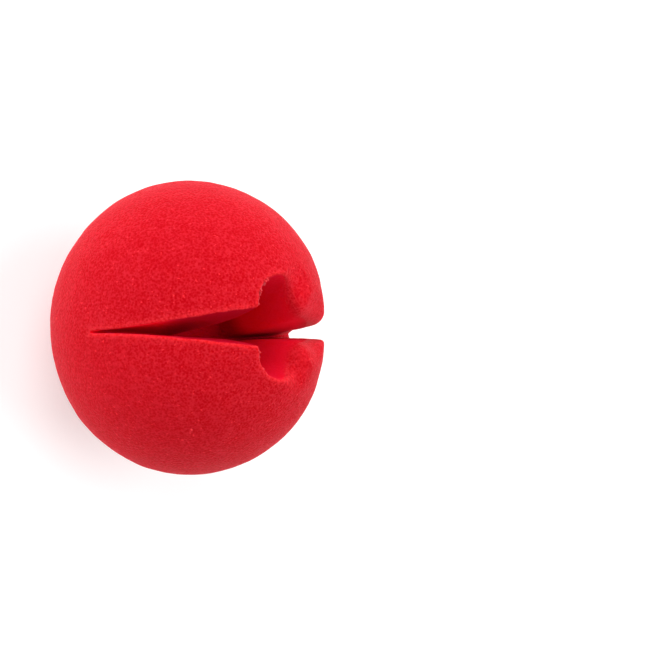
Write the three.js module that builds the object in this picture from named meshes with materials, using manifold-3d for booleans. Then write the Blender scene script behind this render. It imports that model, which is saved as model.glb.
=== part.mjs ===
import * as THREE from 'three';
import { mergeVertices } from 'three/addons/utils/BufferGeometryUtils.js';
import Module from 'manifold-3d';

// Clown nose: one ball of soft red foam, slit half-way through from the top, with a
// round blind hole for the wearer's nose in the middle of the slit. It stands mouth
// up, its lips a little open, on the small flat that its own weight presses.
// All lengths are in millimetres. X runs along the slit, Y across it, and Z points
// up, out of the mouth.

// Ball, before the fingers squeeze the two ends of its slit
const ballLength = 48.9;
const ballBreadth = 51.9;
const ballHeight = 50.0;
const footDiameter = 6.0;

// Slit, and how its two lips stand open
const slitDepth = 24.0;
const slitOffset = 0.9;
const slitBow = 1.2;
const slitKerf = 0.3;
const mouthGap = 6.9;
const openEndGap = 1.5;
const openEndRise = 2.4;

// Nose hole, half in each lip
const holeDiameter = 11.7;
const holeDepth = 23.0;

// Squeeze that flattens both ends of the slit towards the middle
const squeezeTravel = 1.8;
const squeezeReach = 12.5;
const squeezeFade = 18.0;

// Form of the opening, as shares of the sizes above: how much of the gap grows
// evenly from the bottom of the slit, how much of it the pinched end at -X loses,
// and where along the half length each end starts to differ from the middle
const evenTaperShare = 0.52;
const pinchedEndLoss = 0.32;
const pinchedEndStart = 0.75;
const openEndStart = 0.7;

// Form of the slit's bow, as shares of the half length from the middle: where it starts
// at the pinched end, where it is full, and from where it loses a share of itself
// towards the open end
const bowStart = -0.82;
const bowFull = 0.08;
const bowEaseStart = 0.33;
const bowEndLoss = 0.45;

// Fineness of the facets
const ballSides = 56;
const ballRings = 36;
const slitColumns = 24;
const slitRows = 12;
const holeSides = 32;
const holeRows = 10;

const foamColour = 0xd8141f;
const foamRoughness = 0.95;

const halfLength = ballLength / 2;
const halfBreadth = ballBreadth / 2;
const halfHeight = ballHeight / 2;
const slitBottom = halfHeight - slitDepth;
const cutterMargin = 4.0;

const { clamp, smoothstep } = THREE.MathUtils;

const wasm = await Module();
wasm.setup();

// Closed three.js geometry to a solid that can be cut
function toSolid(geometry) {
  geometry.deleteAttribute('normal');
  geometry.deleteAttribute('uv');
  const merged = mergeVertices(geometry, 1e-5);
  return new wasm.Manifold(new wasm.Mesh({
    numProp: 3,
    vertProperties: Float32Array.from(merged.attributes.position.array),
    triVerts: Uint32Array.from(merged.index.array),
  }));
}

// Solid back to a three.js geometry
function toGeometry(solid) {
  const { vertProperties, triVerts } = solid.getMesh();
  const geometry = new THREE.BufferGeometry();
  geometry.setAttribute('position', new THREE.BufferAttribute(vertProperties, 3));
  geometry.setIndex(new THREE.BufferAttribute(triVerts, 1));
  return geometry;
}

// Move every vertex of a geometry by a function of its place
function reshape(geometry, move) {
  const position = geometry.attributes.position;
  const point = new THREE.Vector3();
  for (let i = 0; i < position.count; i += 1) {
    point.fromBufferAttribute(position, i);
    move(point);
    position.setXYZ(i, point.x, point.y, point.z);
  }
  return geometry;
}

// Y of the middle of the slit, x along it and z up. The squeezed ball bends, so the slit
// bows towards the lower lip, evenly more from the mouth down to its bottom.
function slitMiddle(x, z) {
  const along = x / halfLength;
  const down = clamp((halfHeight - z) / slitDepth, 0, 1);
  const endLoss = bowEndLoss * smoothstep(along, bowEaseStart, 1);
  return -slitOffset - slitBow * down * smoothstep(along, bowStart, bowFull) * (1 - endLoss);
}

// Distance of one lip from the middle of the slit, x along the slit and z up. The gap
// grows partly evenly and partly with the fourth power of the height over the slit's
// bottom, is pinched towards -X, and stands wider open at +X.
function lipDistance(x, z) {
  const rise = Math.max(0, z - slitBottom);
  const share = rise / slitDepth;
  const taper = evenTaperShare * share + (1 - evenTaperShare) * share ** 4;
  const pinch = 1 - pinchedEndLoss * smoothstep(-x / halfLength, pinchedEndStart, 1);
  const openEnd = smoothstep(x / halfLength, openEndStart, 1) * Math.min(1, rise / openEndRise);
  return (slitKerf + mouthGap * taper * pinch + openEndGap * openEnd) / 2;
}

// Whole ball, its poles on Z
function makeBall() {
  const geometry = new THREE.SphereGeometry(1, ballSides, ballRings);
  geometry.rotateX(Math.PI / 2);
  geometry.scale(halfLength, halfBreadth, halfHeight);
  return toSolid(geometry);
}

// Height of the foot's flat under the ball's middle
function footDrop() {
  return halfHeight * Math.sqrt(1 - (footDiameter / ballLength) ** 2);
}

// Block under the foot, whose top is the flat that the ball stands on
function makeFootCutter() {
  const geometry = new THREE.BoxGeometry(ballLength, ballBreadth, halfHeight);
  geometry.translate(0, 0, -footDrop() - halfHeight / 2);
  return toSolid(geometry);
}

// Wedge between the lips, from the slit's bottom to above the ball
function makeSlitCutter() {
  const length = ballLength + 2 * cutterMargin;
  const height = slitDepth + cutterMargin;
  const geometry = new THREE.BoxGeometry(length, 2, height, slitColumns, 1, slitRows);
  geometry.translate(0, 0, slitBottom + height / 2);
  reshape(geometry, (point) => {
    const away = Math.sign(point.y) * lipDistance(point.x, point.z);
    point.y = away + slitMiddle(point.x, point.z);
  });
  return toSolid(geometry);
}

// Nose hole: a half round in each lip, which the lips carry apart as they open. Its
// corners start half a side round, so that none lies in the slit itself.
function makeHoleCutter() {
  const radius = holeDiameter / 2;
  const height = holeDepth + cutterMargin;
  const halfSide = Math.PI / holeSides;
  const geometry = new THREE.CylinderGeometry(
    radius, radius, height, holeSides, holeRows, false, halfSide,
  );
  geometry.rotateX(Math.PI / 2);
  geometry.translate(0, 0, halfHeight - holeDepth + height / 2);
  reshape(geometry, (point) => {
    const nearMiddle = Math.abs(point.y) < radius * Math.sin(halfSide / 2);
    const side = nearMiddle ? 0 : Math.sign(point.y);
    point.y += side * lipDistance(0, point.z) + slitMiddle(0, point.z);
  });
  return toSolid(geometry);
}

// Squeeze of the fingers: points near the slit's plane move towards the middle of the
// ball along X, less and less away from the plane and below the slit
function squeezeEnds(point) {
  const away = (point.y + slitOffset) / squeezeReach;
  const upper = smoothstep(point.z, -squeezeFade, squeezeFade);
  point.x *= 1 - (squeezeTravel / halfLength) * Math.exp(-(away ** 2)) * upper;
}

// The whole nose
function makeFoamBall() {
  const solid = makeBall()
    .subtract(makeFootCutter())
    .subtract(makeSlitCutter())
    .subtract(makeHoleCutter());
  const geometry = reshape(toGeometry(solid), squeezeEnds);
  const material = new THREE.MeshStandardMaterial({
    color: foamColour,
    roughness: foamRoughness,
    metalness: 0,
  });
  const mesh = new THREE.Mesh(geometry, material);
  mesh.name = 'foam_ball';
  mesh.position.z = footDrop();
  return mesh;
}

const clownNose = new THREE.Group();
clownNose.name = 'clown_nose';
clownNose.add(makeFoamBall());

export default clownNose;
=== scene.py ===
"""Clown nose of soft red sponge foam, slit half-way through, standing mouth up on a pale floor.

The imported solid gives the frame. One fine surface, worked out with numpy from the same
driving sizes, stands for it. The foam's forms are in millimetres about the ball's
middle, and every mesh that is handed to Blender is in metres about the foot.
"""

import logging
import math
from dataclasses import dataclass, field
from enum import Enum

import bpy
import numpy as np
from mathutils import Matrix, Vector


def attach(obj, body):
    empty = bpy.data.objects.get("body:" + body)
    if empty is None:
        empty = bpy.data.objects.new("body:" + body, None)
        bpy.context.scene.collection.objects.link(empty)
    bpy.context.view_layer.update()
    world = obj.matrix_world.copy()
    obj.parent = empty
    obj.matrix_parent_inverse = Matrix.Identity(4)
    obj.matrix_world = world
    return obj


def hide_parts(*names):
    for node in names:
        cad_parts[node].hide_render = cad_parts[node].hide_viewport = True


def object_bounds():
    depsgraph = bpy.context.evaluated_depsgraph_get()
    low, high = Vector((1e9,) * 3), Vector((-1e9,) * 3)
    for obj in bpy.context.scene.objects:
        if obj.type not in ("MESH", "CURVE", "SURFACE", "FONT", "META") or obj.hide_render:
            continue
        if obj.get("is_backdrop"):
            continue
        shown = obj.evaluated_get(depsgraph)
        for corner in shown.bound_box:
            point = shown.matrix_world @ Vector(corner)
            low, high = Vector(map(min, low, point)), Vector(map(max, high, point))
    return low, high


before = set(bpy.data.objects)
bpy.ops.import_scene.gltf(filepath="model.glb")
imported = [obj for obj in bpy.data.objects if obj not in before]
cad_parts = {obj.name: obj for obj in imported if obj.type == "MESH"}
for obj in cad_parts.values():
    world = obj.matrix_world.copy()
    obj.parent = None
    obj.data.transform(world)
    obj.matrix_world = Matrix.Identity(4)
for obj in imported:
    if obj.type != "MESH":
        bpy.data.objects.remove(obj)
CAD_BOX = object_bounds()

LOG = logging.getLogger("clown_nose")
MM = 0.001
WHITE = (1.0, 1.0, 1.0, 1.0)
Array = np.ndarray
Colour = tuple[float, float, float]


class Lip(Enum):
    """The two lips of the slit, by the side of it that they lie on along Y."""

    UPPER = 1
    LOWER = -1


def smooth_step(low: float, high: float, value: Array) -> Array:
    """Cubic step from 0 at low to 1 at high.

    Args:
        low: value at which the step starts.
        high: value at which it ends.
        value: values to step.

    Returns:
        Array: 3 t squared minus 2 t cubed, t running from 0 to 1.
    """
    t = np.clip((value - low) / (high - low), 0.0, 1.0)
    return t * t * (3.0 - 2.0 * t)


def round_max(a: Array, b: Array, radius: float | Array) -> Array:
    """Larger of two distances, with a round of a given radius where they are alike.

    Args:
        a: signed distances to the first form, negative inside.
        b: signed distances to the second form.
        radius: radius of the rounded edge, one for all or one for each place.

    Returns:
        Array: distance to the overlap of both forms. Where both are within the radius
        of their surfaces, it is the distance to a circle of that radius.
    """
    corner = np.hypot(np.maximum(a + radius, 0.0), np.maximum(b + radius, 0.0))
    return np.minimum(np.maximum(a, b), -radius) + corner


def lattice_noise(points: Array, size: float, seed: int) -> Array:
    """Smooth random field with a given grain size.

    Values are drawn once for the corners of a repeating lattice and blended inside each
    of its cubes by a cubic fade along every axis.

    Args:
        points: places in millimetres, one row each.
        size: edge of a lattice cube in millimetres.
        seed: seed of the draw.

    Returns:
        Array: one value from -1 to 1 for each point.
    """
    side = 64
    values = np.random.default_rng(seed).uniform(-1.0, 1.0, (side, side, side))
    scaled = points / size
    corner = np.floor(scaled).astype(int)
    t = scaled - corner
    fade = t * t * (3.0 - 2.0 * t)
    total = np.zeros(len(points))
    for step in np.ndindex(2, 2, 2):
        weight = np.prod(np.where(np.array(step) == 1, fade, 1.0 - fade), axis=1)
        index = (corner + np.array(step)) % side
        total += weight * values[index[:, 0], index[:, 1], index[:, 2]]
    return total


def spaced(length: float, fine: float, coarse: float, reach: float, both_ends: bool) -> Array:
    """Shares from 0 to 1 along a line, closer together near its start, or both ends.

    The step between points grows from the fine value to the coarse one over the reach,
    and the points are read off the running sum of its inverse.

    Args:
        length: length of the line in millimetres.
        fine: step at the start.
        coarse: step far from it.
        reach: distance over which the step grows.
        both_ends: whether the far end is fine too.

    Returns:
        Array: increasing shares, the first 0 and the last 1.
    """
    samples = 2001
    place = np.linspace(0.0, length, samples)
    near = np.minimum(place, length - place) if both_ends else place
    step = fine + (coarse - fine) * smooth_step(0.0, reach, near)
    density = 1.0 / step
    parts = (density[1:] + density[:-1]) / 2 * np.diff(place)
    total = np.concatenate([[0.0], np.cumsum(parts)])
    count = int(round(total[-1]))
    return np.interp(np.linspace(0.0, total[-1], count + 1), total, place) / length


def new_mesh(name: str, points: Array, quads: Array, triangles: Array) -> bpy.types.Object:
    """Smooth-shaded mesh object from whole arrays.

    Args:
        name: name of the object and its mesh.
        points: vertices in metres, one row each.
        quads: four vertex numbers a row.
        triangles: three vertex numbers a row.

    Returns:
        bpy.types.Object: object at the origin, linked to the scene.
    """
    mesh = bpy.data.meshes.new(name)
    corners = np.concatenate([quads.ravel(), triangles.ravel()]).astype(np.int32)
    sizes = np.concatenate([np.full(len(quads), 4), np.full(len(triangles), 3)])
    starts = np.concatenate([[0], np.cumsum(sizes)[:-1]]).astype(np.int32)
    mesh.vertices.add(len(points))
    mesh.vertices.foreach_set("co", points.astype(np.float32).ravel())
    mesh.loops.add(len(corners))
    mesh.loops.foreach_set("vertex_index", corners)
    mesh.polygons.add(len(sizes))
    mesh.polygons.foreach_set("loop_start", starts)
    mesh.polygons.foreach_set("use_smooth", np.ones(len(sizes), dtype=bool))
    mesh.update(calc_edges=True)
    mesh.validate()
    made = bpy.data.objects.new(name, mesh)
    bpy.context.scene.collection.objects.link(made)
    return made


def add_mask(piece: bpy.types.Object, name: str, values: Array) -> None:
    """Store one number per vertex, for a material to read.

    Args:
        piece: mesh object.
        name: name of the attribute.
        values: one value for each vertex.
    """
    layer = piece.data.attributes.new(name, "FLOAT", "POINT")
    layer.data.foreach_set("value", values.astype(np.float32))


@dataclass(frozen=True)
class FoamForm:
    """Driving sizes of the nose in millimetres, about the middle of its ball.

    X runs along the slit, Y across it and Z out of its mouth, as in the solid.
    """

    length: float = 48.9
    breadth: float = 51.9
    height: float = 50.0
    foot: float = 6.0
    slit_depth: float = 24.0
    slit_offset: float = 0.9
    slit_bow: float = 1.2
    kerf: float = 0.3
    mouth_gap: float = 6.9
    open_end_gap: float = 1.5
    open_end_rise: float = 2.4
    hole: float = 11.7
    hole_depth: float = 23.0
    squeeze_travel: float = 1.8
    squeeze_reach: float = 12.5
    squeeze_fade: float = 18.0
    even_taper_share: float = 0.52
    pinched_end_loss: float = 0.32
    pinched_end_start: float = 0.75
    open_end_start: float = 0.7
    bow_start: float = -0.82
    bow_full: float = 0.08
    bow_ease_start: float = 0.33
    bow_end_loss: float = 0.45
    rim_round: float = 0.4
    corner_round: float = 0.7
    rolled_round: float = 4.8
    rolled_corner: float = 3.0
    upper_end_round: float = 1.5
    lower_end_round: float = 0.6
    end_start: float = 11.0
    end_full: float = 19.0
    foot_round: float = 0.15

    @property
    def radii(self) -> Array:
        """Half length, half breadth and half height."""
        return np.array([self.length, self.breadth, self.height]) / 2

    @property
    def slit_bottom(self) -> float:
        """Height of the slit's bottom."""
        return self.height / 2 - self.slit_depth

    @property
    def hole_bottom(self) -> float:
        """Height of the nose hole's bottom."""
        return self.height / 2 - self.hole_depth

    @property
    def foot_drop(self) -> float:
        """Depth of the foot's flat under the ball's middle."""
        return self.height / 2 * math.sqrt(1 - (self.foot / self.length) ** 2)

    def slit_middle(self, x: Array, z: Array) -> Array:
        """Y of the surface half-way between the lips.

        It bows towards the lower lip, evenly more from the mouth down to the slit's
        bottom. Along the slit the bow rises from the pinched end to the middle, and
        loses a share of itself towards the open end.

        Args:
            x: places along the slit.
            z: heights.

        Returns:
            Array: Y at each place.
        """
        along = x / (self.length / 2)
        down = np.clip((self.height / 2 - z) / self.slit_depth, 0.0, 1.0)
        bow = smooth_step(self.bow_start, self.bow_full, along)
        bow = bow * (1 - self.bow_end_loss * smooth_step(self.bow_ease_start, 1.0, along))
        return -self.slit_offset - self.slit_bow * down * bow

    def lip_distance(self, x: Array, z: Array) -> Array:
        """Distance of a lip's face from the middle of the slit.

        The gap grows partly evenly and partly with the fourth power of the height over
        the slit's bottom. It loses a share at the pinched end and gains at the open one.

        Args:
            x: places along the slit.
            z: heights.

        Returns:
            Array: half the gap at each place.
        """
        half = self.length / 2
        rise = np.maximum(z - self.slit_bottom, 0.0)
        share = rise / self.slit_depth
        taper = self.even_taper_share * share + (1 - self.even_taper_share) * share**4
        pinch = 1 - self.pinched_end_loss * smooth_step(self.pinched_end_start, 1.0, -x / half)
        opened = smooth_step(self.open_end_start, 1.0, x / half)
        opened = opened * np.minimum(rise / self.open_end_rise, 1.0)
        return (self.kerf + self.mouth_gap * taper * pinch + self.open_end_gap * opened) / 2

    def hole_reach(self, x: Array) -> Array:
        """How far the hole's wall lies behind a lip's face, at places along the slit."""
        return np.sqrt(np.maximum((self.hole / 2) ** 2 - x**2, 0.0))

    def rolled(self, x: Array) -> Array:
        """Share, 0 to 1, of the lips' open half that the finger behind it has rolled."""
        return smooth_step(0.0, self.hole / 2, x)

    def rim_radius(self, points: Array) -> Array:
        """Radius of the rims where the cut faces meet the outside.

        It is small at the pinched half, large beside the hole at the open half, and goes
        over to a size of its own at the far end of each lip.

        Args:
            points: places, one row each.

        Returns:
            Array: radius at each place.
        """
        x, y, z = points.T
        beside = self.rim_round + (self.rolled_round - self.rim_round) * self.rolled(x)
        end = np.where(y > self.slit_middle(x, z), self.upper_end_round, self.lower_end_round)
        near_end = smooth_step(self.end_start, self.end_full, x)
        return beside + (end - self.rolled_round) * near_end

    def distances(self, points: Array) -> tuple[Array, Array]:
        """Signed distances to the uncut ball and to what the cuts leave.

        The ball is an ellipsoid with its foot cut flat. The cuts are the wedge between
        the lips and the round hole that each lip carries half of, both open upwards.

        Args:
            points: places, one row each.

        Returns:
            tuple[Array, Array]: distance to the ball and distance to the cut faces,
            negative inside the foam.
        """
        x, y, z = points.T
        scaled = np.linalg.norm(points / self.radii, axis=1)
        steep = np.linalg.norm(points / self.radii**2, axis=1)
        ball = scaled * (scaled - 1.0) / np.maximum(steep, 1e-9)
        ball = round_max(ball, -z - self.foot_drop, self.foot_round)
        behind = np.abs(y - self.slit_middle(x, z)) - self.lip_distance(x, z)
        slit = np.maximum(behind, self.slit_bottom - z)
        wall = np.hypot(x, np.maximum(behind, 0.0)) - self.hole / 2
        hole = np.maximum(wall, self.hole_bottom - z)
        corner = self.corner_round + (self.rolled_corner - self.corner_round) * self.rolled(x)
        return ball, round_max(-slit, -hole, corner)

    def skin(self, points: Array) -> Array:
        """Signed distance to the foam's surface, its rims rounded."""
        return round_max(*self.distances(points), self.rim_radius(points))

    def slope(self, points: Array) -> Array:
        """Outward gradient of the skin's distance, by central differences.

        Args:
            points: places, one row each.

        Returns:
            Array: one vector for each place.
        """
        reach = 0.02
        steps = np.eye(3) * reach
        ends = [self.skin(points + step) - self.skin(points - step) for step in steps]
        return np.stack(ends, axis=1) / (2 * reach)

    def normal(self, points: Array) -> Array:
        """Outward unit vectors of the skin, one for each place."""
        slope = self.slope(points)
        return slope / np.linalg.norm(slope, axis=1)[:, None]

    def settle(self, points: Array, rounds: int = 6) -> Array:
        """Points moved along the slope of the distance until they lie on the skin.

        Args:
            points: places near the skin.
            rounds: number of Newton steps.

        Returns:
            Array: places on the skin.
        """
        flattest = 0.2
        settled = points.copy()
        for _ in range(rounds):
            slope = self.slope(settled)
            steep = np.maximum(np.sum(slope**2, axis=1), flattest)
            settled -= (self.skin(settled) / steep)[:, None] * slope
        return settled

    def squeeze(self, points: Array) -> Array:
        """Points as the fingers press both ends of the slit towards the middle.

        X shrinks by a share that fades as a bell away from the slit's plane and as a
        smooth step below it.

        Args:
            points: places before the squeeze.

        Returns:
            Array: places after it.
        """
        away = (points[:, 1] + self.slit_offset) / self.squeeze_reach
        upper = smooth_step(-self.squeeze_fade, self.squeeze_fade, points[:, 2])
        share = self.squeeze_travel / (self.length / 2) * np.exp(-(away**2)) * upper
        return np.column_stack([points[:, 0] * (1 - share), points[:, 1], points[:, 2]])

    def place(self, points: Array) -> Array:
        """Metres about the foot, from millimetres about the ball's middle."""
        return (points + np.array([0.0, 0.0, self.foot_drop])) * MM


@dataclass(frozen=True)
class FoamFinish:
    """Look of the red foam: its colours, its cells and how the surface takes light.

    Cut calm is how much flatter the cells look on the cut faces, and the mottle share
    how far the slow mottling sways the colour. The fray, glint and crumb shares say how
    much of the rim's pale colour the cut rims, the pale specks painted as glints and
    the crumbs take. The cut colours are purer than the skin's, their own, and much
    paler, painted light that lifts the shade in the slit and the hole. The painted shade
    colours darken the cut faces where shade falls in the slit, and the painted light
    colours lighten the rolled lip's skin where the hollow's shade falls.
    """

    pore_colour: Colour = (0.505, 0.0001, 0.0052)
    strut_colour: Colour = (0.630, 0.0135, 0.0255)
    # Cut faces: purer than the skin, their own colour, and much paler, painted light that lifts
    # the shade in the slit and the hole.
    cut_lit_pore_colour: Colour = (0.95, 0.0030, 0.024)
    cut_lit_strut_colour: Colour = (0.99, 0.0090, 0.033)
    # Painted shade: darker cut colour in the slit's pinched half, along its bottoms and on the
    # lower lip.
    painted_shade_pore_colour: Colour = (0.43, 0.0004, 0.0100)
    painted_shade_strut_colour: Colour = (0.48, 0.0012, 0.0140)
    # Painted light: lighter skin on the rolled lip, where the hollow's shade falls.
    painted_light_pore_colour: Colour = (0.72, 0.0018, 0.013)
    painted_light_strut_colour: Colour = (0.84, 0.0240, 0.042)
    rim_colour: Colour = (0.94, 0.043, 0.057)
    cell_mm: float = 0.44
    speck_mm: float = 0.34
    mottle_mm: float = 2.4
    # Spacing of the single pale specks, which are painted glints.
    glint_mm: float = 0.55
    cell_depth_mm: float = 0.09
    cut_calm: float = 0.45
    mottle_share: float = 0.5
    fray_base: float = 0.15
    fray_gain: float = 0.3
    # Share of the rim's pale colour in the painted glints.
    glint_share: float = 0.5
    crumb_share: float = 0.7
    roughness: float = 0.92
    specular: float = 0.04
    skin_sheen: float = 0.085
    sheen_roughness: float = 0.4
    sheen_tint: Colour = (1.0, 0.8, 0.8)
    scatter: float = 1.0
    scatter_mm: float = 1.2
    scatter_radii: tuple[float, float, float] = (1.0, 0.25, 0.2)


class NodeTree:
    """Short calls for building a shader's nodes."""

    def __init__(self, tree: bpy.types.NodeTree) -> None:
        """Keep the tree to build in."""
        self.tree = tree

    def feed(self, node: bpy.types.Node, inputs: dict) -> bpy.types.Node:
        """Set a node's inputs, or link them where the value is an output socket.

        Args:
            node: node to feed.
            inputs: socket name or number to a value or an output socket.

        Returns:
            bpy.types.Node: the same node.
        """
        for key, value in inputs.items():
            if isinstance(value, bpy.types.NodeSocket):
                self.tree.links.new(value, node.inputs[key])
            else:
                node.inputs[key].default_value = value
        return node

    def add(self, kind: str, inputs: dict | None = None, **settings: object) -> bpy.types.Node:
        """Node of a kind, its settings and inputs set or linked.

        Args:
            kind: node type without the word ShaderNode.
            inputs: socket name or number to a value or an output socket.
            settings: node properties, set before the inputs.

        Returns:
            bpy.types.Node: new node.
        """
        node = self.tree.nodes.new(f"ShaderNode{kind}")
        for name, value in settings.items():
            setattr(node, name, value)
        return self.feed(node, inputs or {})

    def maths(self, operation: str, *values: object, clamp: bool = False) -> bpy.types.NodeSocket:
        """Output of a Math node on numbers or sockets."""
        inputs = dict(enumerate(values))
        return self.add("Math", inputs, operation=operation, use_clamp=clamp).outputs[0]

    def ramp(self, value: object, low: float, high: float) -> bpy.types.NodeSocket:
        """Value from 0 at low to 1 at high, smooth and clamped.

        Args:
            value: number or output socket.
            low: value at which the step starts.
            high: value at which it ends.

        Returns:
            bpy.types.NodeSocket: the stepped value.
        """
        inputs = {"Value": value, "From Min": low, "From Max": high}
        node = self.add("MapRange", inputs, interpolation_type="SMOOTHSTEP")
        return node.outputs["Result"]

    def blend(self, share: object, first: object, second: object) -> bpy.types.NodeSocket:
        """Colour between two colours, by a share.

        Args:
            share: how much of the second colour shows.
            first: colour or output socket.
            second: colour or output socket.

        Returns:
            bpy.types.NodeSocket: the blended colour.
        """
        inputs = {"Factor": share}
        for number, colour in ((6, first), (7, second)):
            linked = isinstance(colour, bpy.types.NodeSocket)
            inputs[number] = colour if linked else (*colour, 1.0)
        return self.add("Mix", inputs, data_type="RGBA").outputs[2]


def foam_cells_group() -> bpy.types.NodeTree:
    """Node group of open foam cells.

    It takes a place in metres and the sizes of the cells, of the specks among them, of
    the mottling and of the spacing of the painted glints in millimetres. It puts out a
    height, from 0 in the pits to 1 on the struts, the share of light struts in the
    colour, a slow mottling, and a mask of single pale specks that are painted glints.

    Returns:
        bpy.types.NodeTree: the group.
    """
    group = bpy.data.node_groups.new("foam_cells", "ShaderNodeTree")
    face = group.interface
    face.new_socket(name="Vector", in_out="INPUT", socket_type="NodeSocketVector")
    for name in ("Cell", "Speck", "Mottle", "Glint"):
        face.new_socket(name=name, in_out="INPUT", socket_type="NodeSocketFloat")
    for name in ("Height", "Struts", "Mottling", "Glints"):
        face.new_socket(name=name, in_out="OUTPUT", socket_type="NodeSocketFloat")
    made = NodeTree(group)
    start = group.nodes.new("NodeGroupInput").outputs
    place = start["Vector"]
    bowl_range = (0.1, 0.85)
    speck_range = (0.3, 0.7)
    # Threshold for the single pale specks, which are painted glints.
    glint_range = (0.66, 0.76)
    bowl_share = 0.6
    middle_height = 0.55
    contrast = 1.5

    def texture(kind: str, size: str, output: str, **inputs: float) -> bpy.types.NodeSocket:
        """Output of a texture whose features have the size of a group input."""
        scale = made.maths("DIVIDE", 1 / MM, start[size])
        return made.add(f"Tex{kind}", {"Vector": place, "Scale": scale, **inputs}).outputs[output]

    bowl = made.ramp(texture("Voronoi", "Cell", "Distance"), *bowl_range)
    speck = made.ramp(texture("Noise", "Speck", "Fac", Detail=2.0), *speck_range)
    coarse = made.maths("MULTIPLY", bowl, bowl_share)
    fine = made.maths("MULTIPLY", speck, 1 - bowl_share)
    height = made.maths("ADD", coarse, fine)
    raised = made.maths("SUBTRACT", height, middle_height)
    sent = {
        "Height": height,
        "Struts": made.maths("MULTIPLY_ADD", raised, contrast, 0.5),
        "Mottling": texture("Noise", "Mottle", "Fac", Detail=3.0),
        # Mask of single pale specks, which are painted glints.
        "Glints": made.ramp(texture("Noise", "Glint", "Fac", Detail=1.0), *glint_range),
    }
    made.feed(group.nodes.new("NodeGroupOutput"), sent)
    return group


def foam_material(
    name: str, finish: FoamFinish, cells: bpy.types.NodeTree, sheen: float
) -> bpy.types.Material:
    """Dry open-cell foam, dyed through.

    Its colour runs from the pores to the paler struts. On the cut faces it is purer and
    calmer, and much paler as painted light that lifts the shade in the slit and the
    hole. Painted shade darkens the cut faces in the slit's pinched half, along the
    bottoms of the slit and the hole and on the lower lip, and painted light makes the
    skin of the rolled lip lighter where the hollow's shade falls. The cut rims, where
    cells stand out, and the crumbs on the torn rim are paler still, and single pale
    specks on the outside are painted glints. The cells give the bump.

    Args:
        name: material name.
        finish: its look.
        cells: group of foam cells.
        sheen: weight of the nap's sheen, which the cut faces lack.

    Returns:
        bpy.types.Material: the material.
    """
    material = bpy.data.materials.new(name)
    material.use_nodes = True
    made = NodeTree(material.node_tree)
    shader = material.node_tree.nodes["Principled BSDF"]
    place = made.add("TexCoord").outputs["Object"]
    sizes = {"Cell": finish.cell_mm, "Speck": finish.speck_mm}
    sizes |= {"Mottle": finish.mottle_mm, "Glint": finish.glint_mm}
    grain = made.add("Group", {"Vector": place, **sizes}, node_tree=cells).outputs
    names = ("rim", "crumb", "cut", "painted_shade", "rolled")
    masks = {key: made.add("Attribute", attribute_name=key).outputs["Fac"] for key in names}
    cut = masks["cut"]

    calm = made.maths("SUBTRACT", 1.0, made.maths("MULTIPLY", cut, finish.cut_calm))
    spread = made.maths("MULTIPLY", made.maths("SUBTRACT", grain["Struts"], 0.5), calm)
    sway = made.maths("SUBTRACT", grain["Mottling"], 0.5)
    slow = made.maths("MULTIPLY", sway, finish.mottle_share)
    share = made.maths("ADD", made.maths("ADD", spread, slow), 0.5, clamp=True)
    skin = made.blend(share, finish.pore_colour, finish.strut_colour)
    # Cut faces: their own purer colour, made much paler as painted light in the slit and the hole.
    loose = made.blend(share, finish.cut_lit_pore_colour, finish.cut_lit_strut_colour)
    # Painted shade: darker cut colour where shade falls in the slit and the hole.
    painted_dark = made.blend(share, finish.painted_shade_pore_colour, finish.painted_shade_strut_colour)
    # Painted light: lighter skin colour on the rolled lip, where the hollow's shade falls.
    light = made.blend(share, finish.painted_light_pore_colour, finish.painted_light_strut_colour)
    skin = made.blend(masks["rolled"], skin, light)
    shade = made.blend(cut, skin, made.blend(masks["painted_shade"], loose, painted_dark))

    outer = made.maths("SUBTRACT", 1.0, cut)
    edge = made.maths("MULTIPLY", masks["rim"], outer)
    fray = made.maths("MULTIPLY_ADD", grain["Height"], finish.fray_gain, finish.fray_base)
    frayed = made.maths("MULTIPLY", edge, fray)
    # Pale specks on the outside, which are painted glints.
    glints = made.maths("MULTIPLY", grain["Glints"], made.maths("MULTIPLY", outer, finish.glint_share))
    crumb = made.maths("MULTIPLY", masks["crumb"], finish.crumb_share)
    pale = made.maths("MAXIMUM", made.maths("MAXIMUM", frayed, glints), crumb)
    bump_height = made.maths("MULTIPLY", grain["Height"], calm)
    bump = {"Height": bump_height, "Strength": 1.0, "Distance": finish.cell_depth_mm * MM}
    look = {
        "Base Color": made.blend(pale, shade, finish.rim_colour),
        "Normal": made.add("Bump", bump).outputs[0],
        "Roughness": finish.roughness,
        "Specular IOR Level": finish.specular,
        "Sheen Weight": sheen,
        "Sheen Roughness": finish.sheen_roughness,
        "Sheen Tint": (*finish.sheen_tint, 1.0),
        "Subsurface Weight": finish.scatter,
        "Subsurface Radius": finish.scatter_radii,
        "Subsurface Scale": finish.scatter_mm * MM,
    }
    made.feed(shader, look)
    return material


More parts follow.
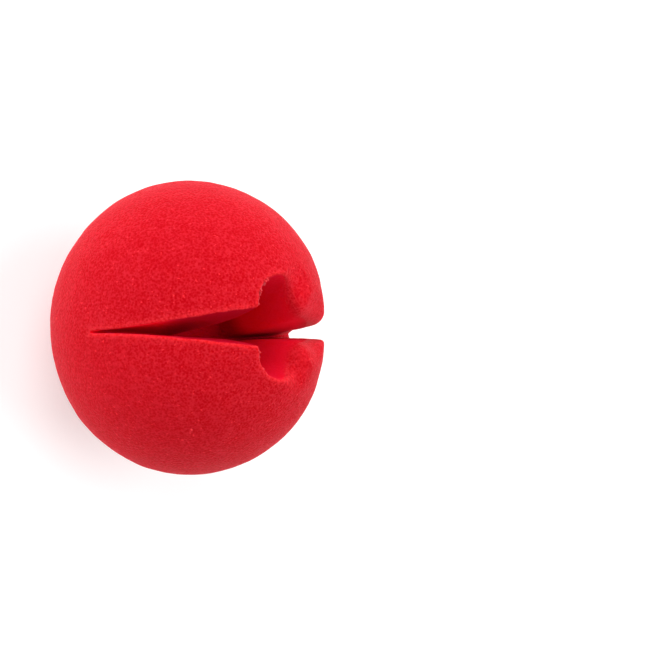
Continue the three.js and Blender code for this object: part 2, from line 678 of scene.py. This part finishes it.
@dataclass
class FoamNose:
    """The foam ball with its slit and nose hole, as one closed surface.

    Its grid runs along X by sections and round each section by points. A section starts
    at the slit's bottom, climbs one lip, goes round the outside and comes down the
    other lip. Its sizes here are steps of that grid, the unevenness of the foam, where
    painted light lightens the rolled lip and painted shade darkens the cut faces, and
    its crumbs.
    """

    form: FoamForm = field(default_factory=FoamForm)
    finish: FoamFinish = field(default_factory=FoamFinish)
    fine_step: float = 0.2
    coarse_step: float = 0.46
    step_reach: float = 4.0
    end_radius_share: float = 0.06
    spread_reach: float = 12.0
    skin_waves: tuple[tuple[float, float], ...] = ((9.0, 0.10), (3.1, 0.06), (1.1, 0.035))
    rim_waves: tuple[tuple[float, float], ...] = ((1.6, 0.10), (0.7, 0.10))
    calm_share: float = 0.5
    rim_reach: float = 0.7
    cut_fade: tuple[float, float] = (-0.1, 0.6)
    rolled_depth: float = 3.2
    # Middle and reach of the bell of painted light on the rolled lip's skin.
    painted_light_middle: float = 1.2
    painted_light_reach: float = 3.0
    # Where the painted shade on the cut faces fades in and out, and how strong it is.
    painted_shade_end: tuple[float, float] = (-10.0, -1.5)
    painted_shade_slant: float = 0.87
    painted_shade_side: tuple[float, float] = (-8.0, 3.0)
    painted_shade_floor: tuple[float, float] = (3.0, 9.0)
    painted_shade_floor_share: float = 1.1
    painted_shade_lower_share: float = 0.42
    crumb_seed: int = 5
    crumb_grid: tuple[int, int] = (3, 6)
    crumb_rise: float = 0.5
    crumb_uneven: tuple[float, float] = (0.8, 1.2)
    crumb_counts: tuple[int, int] = (17, 5)
    crumb_turn: tuple[float, float] = (0.05, 0.95)
    crumb_depth: tuple[float, float] = (0.0, 0.8)
    crumb_radius: tuple[float, float] = (0.12, 0.30)
    lint_place: tuple[float, float, float] = (-12.0, -17.7, 13.3)
    lint_radius: float = 0.22

    def section_places(self) -> tuple[Array, Array]:
        """X of each section at the rims and far from them.

        At the rims the sections that cross the hole are spaced evenly round it, so their
        X is the cosine of an even angle. Far from them all are spaced evenly over the
        outside.

        Returns:
            tuple[Array, Array]: X at the rims and X far from them, in millimetres.
        """
        half = self.form.length / 2
        radius = self.form.hole / 2
        start = math.asin(radius / half)
        end = math.acos(self.end_radius_share)
        arc = (end - start) * half
        shares = spaced(arc, self.fine_step, self.coarse_step, self.step_reach, False)
        outside = half * np.sin(start + (end - start) * shares)
        sides = int(round(math.pi * radius / self.coarse_step))
        inside = radius * np.cos(np.linspace(math.pi, 0.0, sides + 1))[1:-1]
        rims = np.concatenate([-outside[::-1], inside, outside])
        even = half * np.sin(np.linspace(-end, end, len(rims)))
        return rims, even

    def rim_points(self, x: Array, lip: Lip, rounds: int = 30) -> tuple[Array, Array]:
        """Y and Z of a lip's rim, where its face or the hole meets the outside.

        The gap at the present height gives Y, and the ball over it gives the next height.

        Args:
            x: X of the sections.
            lip: which lip.
            rounds: number of such steps.

        Returns:
            tuple[Array, Array]: Y and Z for each section.
        """
        half, wide, high = self.form.radii
        z = np.full_like(x, high)
        for _ in range(rounds):
            reach = self.form.lip_distance(x, z) + self.form.hole_reach(x)
            y = lip.value * reach + self.form.slit_middle(x, z)
            z = high * np.sqrt(np.maximum(1 - (x / half) ** 2 - (y / wide) ** 2, 0.0))
        return y, z

    def inner_path(self, x: Array, top: Array, lip: Lip, shares: Array) -> Array:
        """Points down the inside of a lip, from its rim to the slit's bottom.

        The way goes down the hole's wall, in along the hole's floor and down the lip's
        face. Beside the hole the floor has no length and the wall is the lip's face.

        Args:
            x: X of the sections.
            top: height of the rim in each section.
            lip: which lip.
            shares: shares of the way down.

        Returns:
            Array: sections by shares by three coordinates.
        """
        form = self.form
        floor = np.minimum(form.hole_bottom, top)
        reach = form.hole_reach(x)
        wall = (top - floor)[:, None]
        gone = shares[None, :] * (top - form.slit_bottom + reach)[:, None]
        inward = np.clip(gone - wall, 0.0, reach[:, None])
        further = np.maximum(gone - wall - reach[:, None], 0.0)
        z = top[:, None] - np.minimum(gone, wall) - further
        across = np.broadcast_to(x[:, None], z.shape)
        y = lip.value * (form.lip_distance(across, z) + reach[:, None] - inward)
        y += form.slit_middle(across, z)
        return np.stack([across, y, z], axis=-1)

    def outer_path(
        self, rims: Array, even: Array, tops: dict[Lip, tuple[Array, Array]], shares: Array
    ) -> Array:
        """Points round the outside, from the upper lip's rim to the lower lip's.

        A section is an ellipse, run through by its angle from the top. Its X goes from
        its place at the rims to its place far from them.

        Args:
            rims: X of the sections at the rims.
            even: X of the sections far from them.
            tops: Y and Z of both rims.
            shares: shares of the way round.

        Returns:
            Array: sections by shares by three coordinates.
        """
        half, wide, high = self.form.radii
        angles = {lip: np.arctan2(y / wide, z / high) for lip, (y, z) in tops.items()}
        start = angles[Lip.UPPER][:, None]
        end = 2 * math.pi + angles[Lip.LOWER][:, None]
        angle = start + (end - start) * shares[None, :]
        away = np.minimum(shares, 1 - shares)[None, :] * 2 * math.pi * high
        loose = smooth_step(0.0, self.spread_reach, away)
        x = rims[:, None] * (1 - loose) + even[:, None] * loose
        radius = np.sqrt(np.maximum(1 - (x / half) ** 2, 0.0))
        y = wide * radius * np.sin(angle)
        z = high * radius * np.cos(angle)
        return np.stack([x, y, z], axis=-1)

    def grid(self) -> Array:
        """The nose's surface before its rims are rounded.

        Returns:
            Array: sections by points round each by three coordinates, in millimetres.
        """
        rims, even = self.section_places()
        tops = {lip: self.rim_points(rims, lip) for lip in Lip}
        depth = self.form.slit_depth + self.form.hole / 2
        down = spaced(depth, self.fine_step, self.coarse_step, self.step_reach, False)
        girth = math.pi * (self.form.breadth + self.form.height) / 2
        around = spaced(girth, self.fine_step, self.coarse_step, self.step_reach, True)
        upper = self.inner_path(rims, tops[Lip.UPPER][1], Lip.UPPER, down)
        lower = self.inner_path(rims, tops[Lip.LOWER][1], Lip.LOWER, down)
        outer = self.outer_path(rims, even, tops, around[1:-1])
        return np.concatenate([upper[:, ::-1], outer, lower], axis=1)

    def faces(self, sections: int, count: int) -> tuple[Array, Array]:
        """Quads between neighbouring sections and fans that close both ends.

        Args:
            sections: number of sections.
            count: points round each.

        Returns:
            tuple[Array, Array]: quads and triangles. The two end points come last.
        """
        number = np.arange(sections * count).reshape(sections, count)
        after = np.roll(number, -1, axis=1)
        corners = [number[:-1], after[:-1], after[1:], number[1:]]
        quads = np.stack(corners, axis=-1).reshape(-1, 4)
        left = np.full(count, sections * count)
        first = np.stack([left, after[0], number[0]], axis=-1)
        last = np.stack([left + 1, number[-1], after[-1]], axis=-1)
        return quads, np.concatenate([first, last])

    def roughen(self, points: Array, rim: Array, cut: Array) -> Array:
        """How far the foam stands out of its smooth form at each point.

        Waves of noise of several sizes are added up, weaker on the cut faces. Finer ones
        are added at the rims.

        Args:
            points: places in millimetres.
            rim: 1 at the rims, 0 away from them.
            cut: 1 on the cut faces, 0 outside.

        Returns:
            Array: heights in millimetres.
        """
        total = np.zeros(len(points))
        sets = ((self.skin_waves, 1 - self.calm_share * cut), (self.rim_waves, rim))
        for number, (waves, share) in enumerate(sets):
            for seed, (size, depth) in enumerate(waves, start=10 * number):
                total += share * depth * lattice_noise(points, size, seed)
        return total

    def painted_shade(self, points: Array) -> Array:
        """Share, 0 to 1, of painted shade that darkens the cut foam.

        The painted shade is strongest in the slit's pinched half and along the bottoms of the
        slit and the hole, and weaker all over the lower lip, which the slit bows to. Towards
        the pinched end it fades along a slanting line, lower nearer the middle.

        Args:
            points: places in millimetres.

        Returns:
            Array: share at each point.
        """
        x, y, z = points.T
        side = 1 - smooth_step(*self.painted_shade_side, x)
        low = self.painted_shade_floor_share * (1 - smooth_step(*self.painted_shade_floor, z))
        lower = self.painted_shade_lower_share * (y < self.form.slit_middle(x, z))
        fade = smooth_step(*self.painted_shade_end, x + self.painted_shade_slant * z)
        return fade * np.maximum.reduce([side, low, lower])

    def crumbs(self) -> Array:
        """Crumbs on the hole's torn rim, each a small uneven lump half sunk in the foam.

        They are strewn along the hole's pinched side, from its rim a little way down its
        wall, more on the upper lip than on the lower. The last is the speck of lint on
        the outside. A crumb is three rings of six points and a point at each end.

        Returns:
            Array: crumbs by rings and their points by three coordinates, the ends last.
        """
        form = self.form
        draw = np.random.default_rng(self.crumb_seed)
        rings, sides = self.crumb_grid
        turns = np.arange(sides) * 2 * math.pi / sides
        turn, ring = np.meshgrid(turns, np.arange(1, rings + 1) * math.pi / (rings + 1))
        around = [np.sin(ring) * np.sin(turn), np.sin(ring) * np.cos(turn)]
        lump = np.stack([-np.cos(ring), *around], axis=-1).reshape(-1, 3)
        lump = np.concatenate([lump, [[-1.0, 0.0, 0.0], [1.0, 0.0, 0.0]]])
        starts = []
        for lip, count in zip((Lip.UPPER, Lip.LOWER), self.crumb_counts):
            x = -form.hole / 2 * np.cos(draw.uniform(*self.crumb_turn, count))
            y, z = self.rim_points(x, lip)
            starts.append(np.stack([x, y, z - draw.uniform(*self.crumb_depth, count)], axis=-1))
        seats = form.settle(np.concatenate([*starts, [self.lint_place]]))
        radius = draw.uniform(*self.crumb_radius, (len(seats), 1))
        radius[-1] = self.lint_radius
        middles = form.squeeze(seats) + self.crumb_rise * radius * form.normal(seats)
        uneven = draw.uniform(*self.crumb_uneven, (len(seats), len(lump), 1))
        return middles[:, None] + radius[:, None] * uneven * lump

    def masks(self, points: Array) -> tuple[Array, dict[str, Array]]:
        """Depth of each point inside the cuts, and what the materials read there.

        The depth is counted from the rims, downwards on the cut faces and below 0 round
        the outside. The rim's mask is a bell over it, which the rolled half lacks. The
        rolled lip's skin is another bell, which carries painted light, and on it the cut
        faces start deeper down. A last share gives the painted shade on the cut faces.

        Args:
            points: places on the skin before the squeeze, in millimetres.

        Returns:
            tuple[Array, dict[str, Array]]: depths, and shares from 0 to 1 by name.
        """
        form = self.form
        ball, faces = form.distances(points)
        depth = faces - ball
        open_half = form.rolled(points[:, 0])
        inside = depth - self.rolled_depth * open_half
        upper = points[:, 1] > form.slit_middle(points[:, 0], points[:, 2])
        away = (depth - self.painted_light_middle) / self.painted_light_reach
        return inside, {
            "rim": np.exp(-((depth / self.rim_reach) ** 2)) * (1 - open_half),
            "cut": smooth_step(*self.cut_fade, inside / (1 + self.rolled_depth * open_half)),
            # Bell of painted light on the rolled lip's skin.
            "rolled": open_half * upper * np.exp(-(away**2)),
            # Share of painted shade on the cut faces.
            "painted_shade": self.painted_shade(points),
        }

    def dress(self, nose: bpy.types.Object, deep: Array) -> None:
        """Give the skin and the cut faces their materials, and put the piece in its place.

        Args:
            nose: mesh object of the whole nose.
            deep: whether each face lies inside the cuts.
        """
        cells = foam_cells_group()
        sheens = {"foam_skin": self.finish.skin_sheen, "cut_foam": 0.0}
        for name, sheen in sheens.items():
            nose.data.materials.append(foam_material(name, self.finish, cells, sheen))
        nose.data.polygons.foreach_set("material_index", deep.astype(np.int32))
        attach(nose, "root")
        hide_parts("foam_ball")

    def build(self) -> bpy.types.Object:
        """Make the surface, replace the solid by it and dress it.

        Returns:
            bpy.types.Object: the foam nose.
        """
        form = self.form
        grid = self.grid()
        ends = np.array([[-form.length / 2, 0.0, 0.0], [form.length / 2, 0.0, 0.0]])
        points = form.settle(np.concatenate([grid.reshape(-1, 3), ends]))
        inside, masks = self.masks(points)
        squeezed = form.squeeze(points)
        rough = self.roughen(squeezed, masks["rim"], masks["cut"])
        squeezed += form.normal(points) * rough[:, None]
        squeezed[:, 2] = np.maximum(squeezed[:, 2], -form.foot_drop)
        quads, triangles = self.faces(*grid.shape[:2])

        crumbs = self.crumbs()
        ring_quads, ring_ends = self.faces(*self.crumb_grid)
        first = len(points) + np.arange(len(crumbs))[:, None, None] * crumbs.shape[1]
        quads = np.concatenate([quads, (first + ring_quads).reshape(-1, 4)])
        triangles = np.concatenate([triangles, (first + ring_ends).reshape(-1, 3)])
        extra = crumbs.size // 3
        squeezed = np.concatenate([squeezed, crumbs.reshape(-1, 3)])
        inside = np.concatenate([inside, np.ones(extra)])
        deep = np.concatenate([inside[quads].min(axis=1), inside[triangles].min(axis=1)]) > 0

        nose = new_mesh("foam_nose", form.place(squeezed), quads, triangles)
        for name, values in masks.items():
            add_mask(nose, name, np.concatenate([values, np.zeros(extra)]))
        add_mask(nose, "crumb", np.concatenate([np.zeros(len(points)), np.ones(extra)]))
        self.dress(nose, deep)
        LOG.info("foam_nose: %d sections of %d points", *grid.shape[:2])
        return nose


@dataclass(frozen=True)
class Sun:
    """Broad even light.

    It comes from a direction that is given as right, up and back in the view, and its
    strength is in watts per square metre.
    """

    name: str
    come_from: tuple[float, float, float]
    strength: float
    spread_deg: float = 60.0


@dataclass(frozen=True)
class Studio:
    """Camera, lights and floor.

    The camera's place is given by the direction from the ball to it: its angle off the
    mouth's axis towards the pinched end of the slit, and its rise over the slit's
    plane. Pixels are of the 645 by 660 frame, and the floor's reach is in metres.
    """

    off_axis_deg: float = 40.9
    rise_deg: float = -1.88
    roll_deg: float = 1.51
    distance_mm: float = 400.0
    pixels_per_mm: float = 5.65
    frame_pixels: tuple[int, int] = (645, 660)
    slit_pixel: tuple[float, float] = (190.5, 332.6)
    sensor_mm: float = 36.0
    surround: float = 0.33
    suns: tuple[Sun, ...] = (
        Sun("key", (0.0, 0.7, 0.7), 1.72),
        Sun("side", (1.0, 0.0, 0.3), 1.75),
        Sun("front", (0.0, 0.35, 0.95), 0.95),
    )
    floor_reach: float = 3.0
    floor_colour: Colour = (0.62, 0.62, 0.62)
    floor_roughness: float = 0.8
    floor_glow: float = 0.475

    @property
    def view_axes(self) -> Array:
        """Rows that point right, up and back to the camera, before it is turned and rolled."""
        off, rise = np.radians([self.off_axis_deg, self.rise_deg])
        level = math.cos(rise)
        back = np.array([-math.sin(off) * level, math.sin(rise), math.cos(off) * level])
        right = np.cross([0.0, 1.0, 0.0], back)
        right /= np.linalg.norm(right)
        return np.stack([right, np.cross(back, right), back])

    def camera(self, middle: Array) -> None:
        """Camera that sees the slit's middle at its pixel in the frame.

        The view is first set square to the ball with the upper lip up, then turned so
        that the middle of the slit falls on its pixel, and rolled.

        Args:
            middle: middle of the slit in metres.
        """
        focal = self.pixels_per_mm * self.distance_mm
        wide, high = self.frame_pixels
        aim = np.array([self.slit_pixel[0] - wide / 2, high / 2 - self.slit_pixel[1], -focal])
        aim /= np.linalg.norm(aim)
        ahead = np.array([0.0, 0.0, -1.0])
        axis = np.cross(ahead, aim)
        turn = Matrix.Rotation(math.asin(np.linalg.norm(axis)), 3, axis.tolist())
        roll = Matrix.Rotation(math.radians(self.roll_deg), 3, "Z")
        rolled = np.array(turn @ roll) @ self.view_axes
        data = bpy.data.cameras.new("camera")
        data.sensor_fit = "AUTO"
        data.sensor_width = self.sensor_mm
        data.lens = focal * self.sensor_mm / max(wide, high)
        data.clip_start = 0.01
        seen = bpy.data.objects.new("camera", data)
        pose = Matrix(rolled.T.tolist()).to_4x4()
        pose.translation = (middle + self.view_axes[2] * self.distance_mm * MM).tolist()
        seen.matrix_world = pose
        bpy.context.scene.collection.objects.link(seen)
        bpy.context.scene.camera = seen

    def light(self, sun: Sun) -> None:
        """Put up one light.

        Args:
            sun: where it comes from, its strength and its spread.
        """
        data = bpy.data.lights.new(sun.name, "SUN")
        data.energy = sun.strength
        data.angle = math.radians(sun.spread_deg)
        made = bpy.data.objects.new(sun.name, data)
        towards = Vector((np.array(sun.come_from) @ self.view_axes).tolist())
        made.rotation_euler = towards.to_track_quat("Z", "Y").to_euler()
        bpy.context.scene.collection.objects.link(made)

    def floor(self) -> None:
        """Plain pale floor, a little aglow."""
        square = np.array([[-1, -1, 0], [1, -1, 0], [1, 1, 0], [-1, 1, 0]])
        no_triangles = np.empty((0, 3), dtype=int)
        made = new_mesh("floor", self.floor_reach * square, np.array([[0, 1, 2, 3]]), no_triangles)
        material = bpy.data.materials.new("pale_floor")
        material.use_nodes = True
        look = {
            "Base Color": (*self.floor_colour, 1.0),
            "Roughness": self.floor_roughness,
            "Emission Color": WHITE,
            "Emission Strength": self.floor_glow,
        }
        tree = material.node_tree
        NodeTree(tree).feed(tree.nodes["Principled BSDF"], look)
        made.data.materials.append(material)
        made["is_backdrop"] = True

    def world(self) -> None:
        """White surround that lights all sides evenly."""
        world = bpy.data.worlds.new("surround")
        world.use_nodes = True
        background = world.node_tree.nodes["Background"]
        background.inputs["Color"].default_value = WHITE
        background.inputs["Strength"].default_value = self.surround
        bpy.context.scene.world = world
        bpy.context.scene.view_settings.view_transform = "Standard"

    def build(self, middle: Array) -> None:
        """Set up the camera, the lights, the floor and the surround.

        Args:
            middle: middle of the slit in metres.
        """
        self.camera(middle)
        for sun in self.suns:
            self.light(sun)
        self.floor()
        self.world()


def main() -> None:
    """Build the nose and the studio."""
    logging.basicConfig(level=logging.INFO, format="%(name)s: %(message)s")
    nose = FoamNose()
    nose.build()
    Studio().build(nose.form.place(np.array([0.0, -nose.form.slit_offset, 0.0])))
    boxes = {"cad": CAD_BOX, "visual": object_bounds()}
    for name, box in boxes.items():
        LOG.info("%s box in mm: %s", name, [[round(v / MM, 2) for v in corner] for corner in box])


if __name__ == "__main__":
    main()
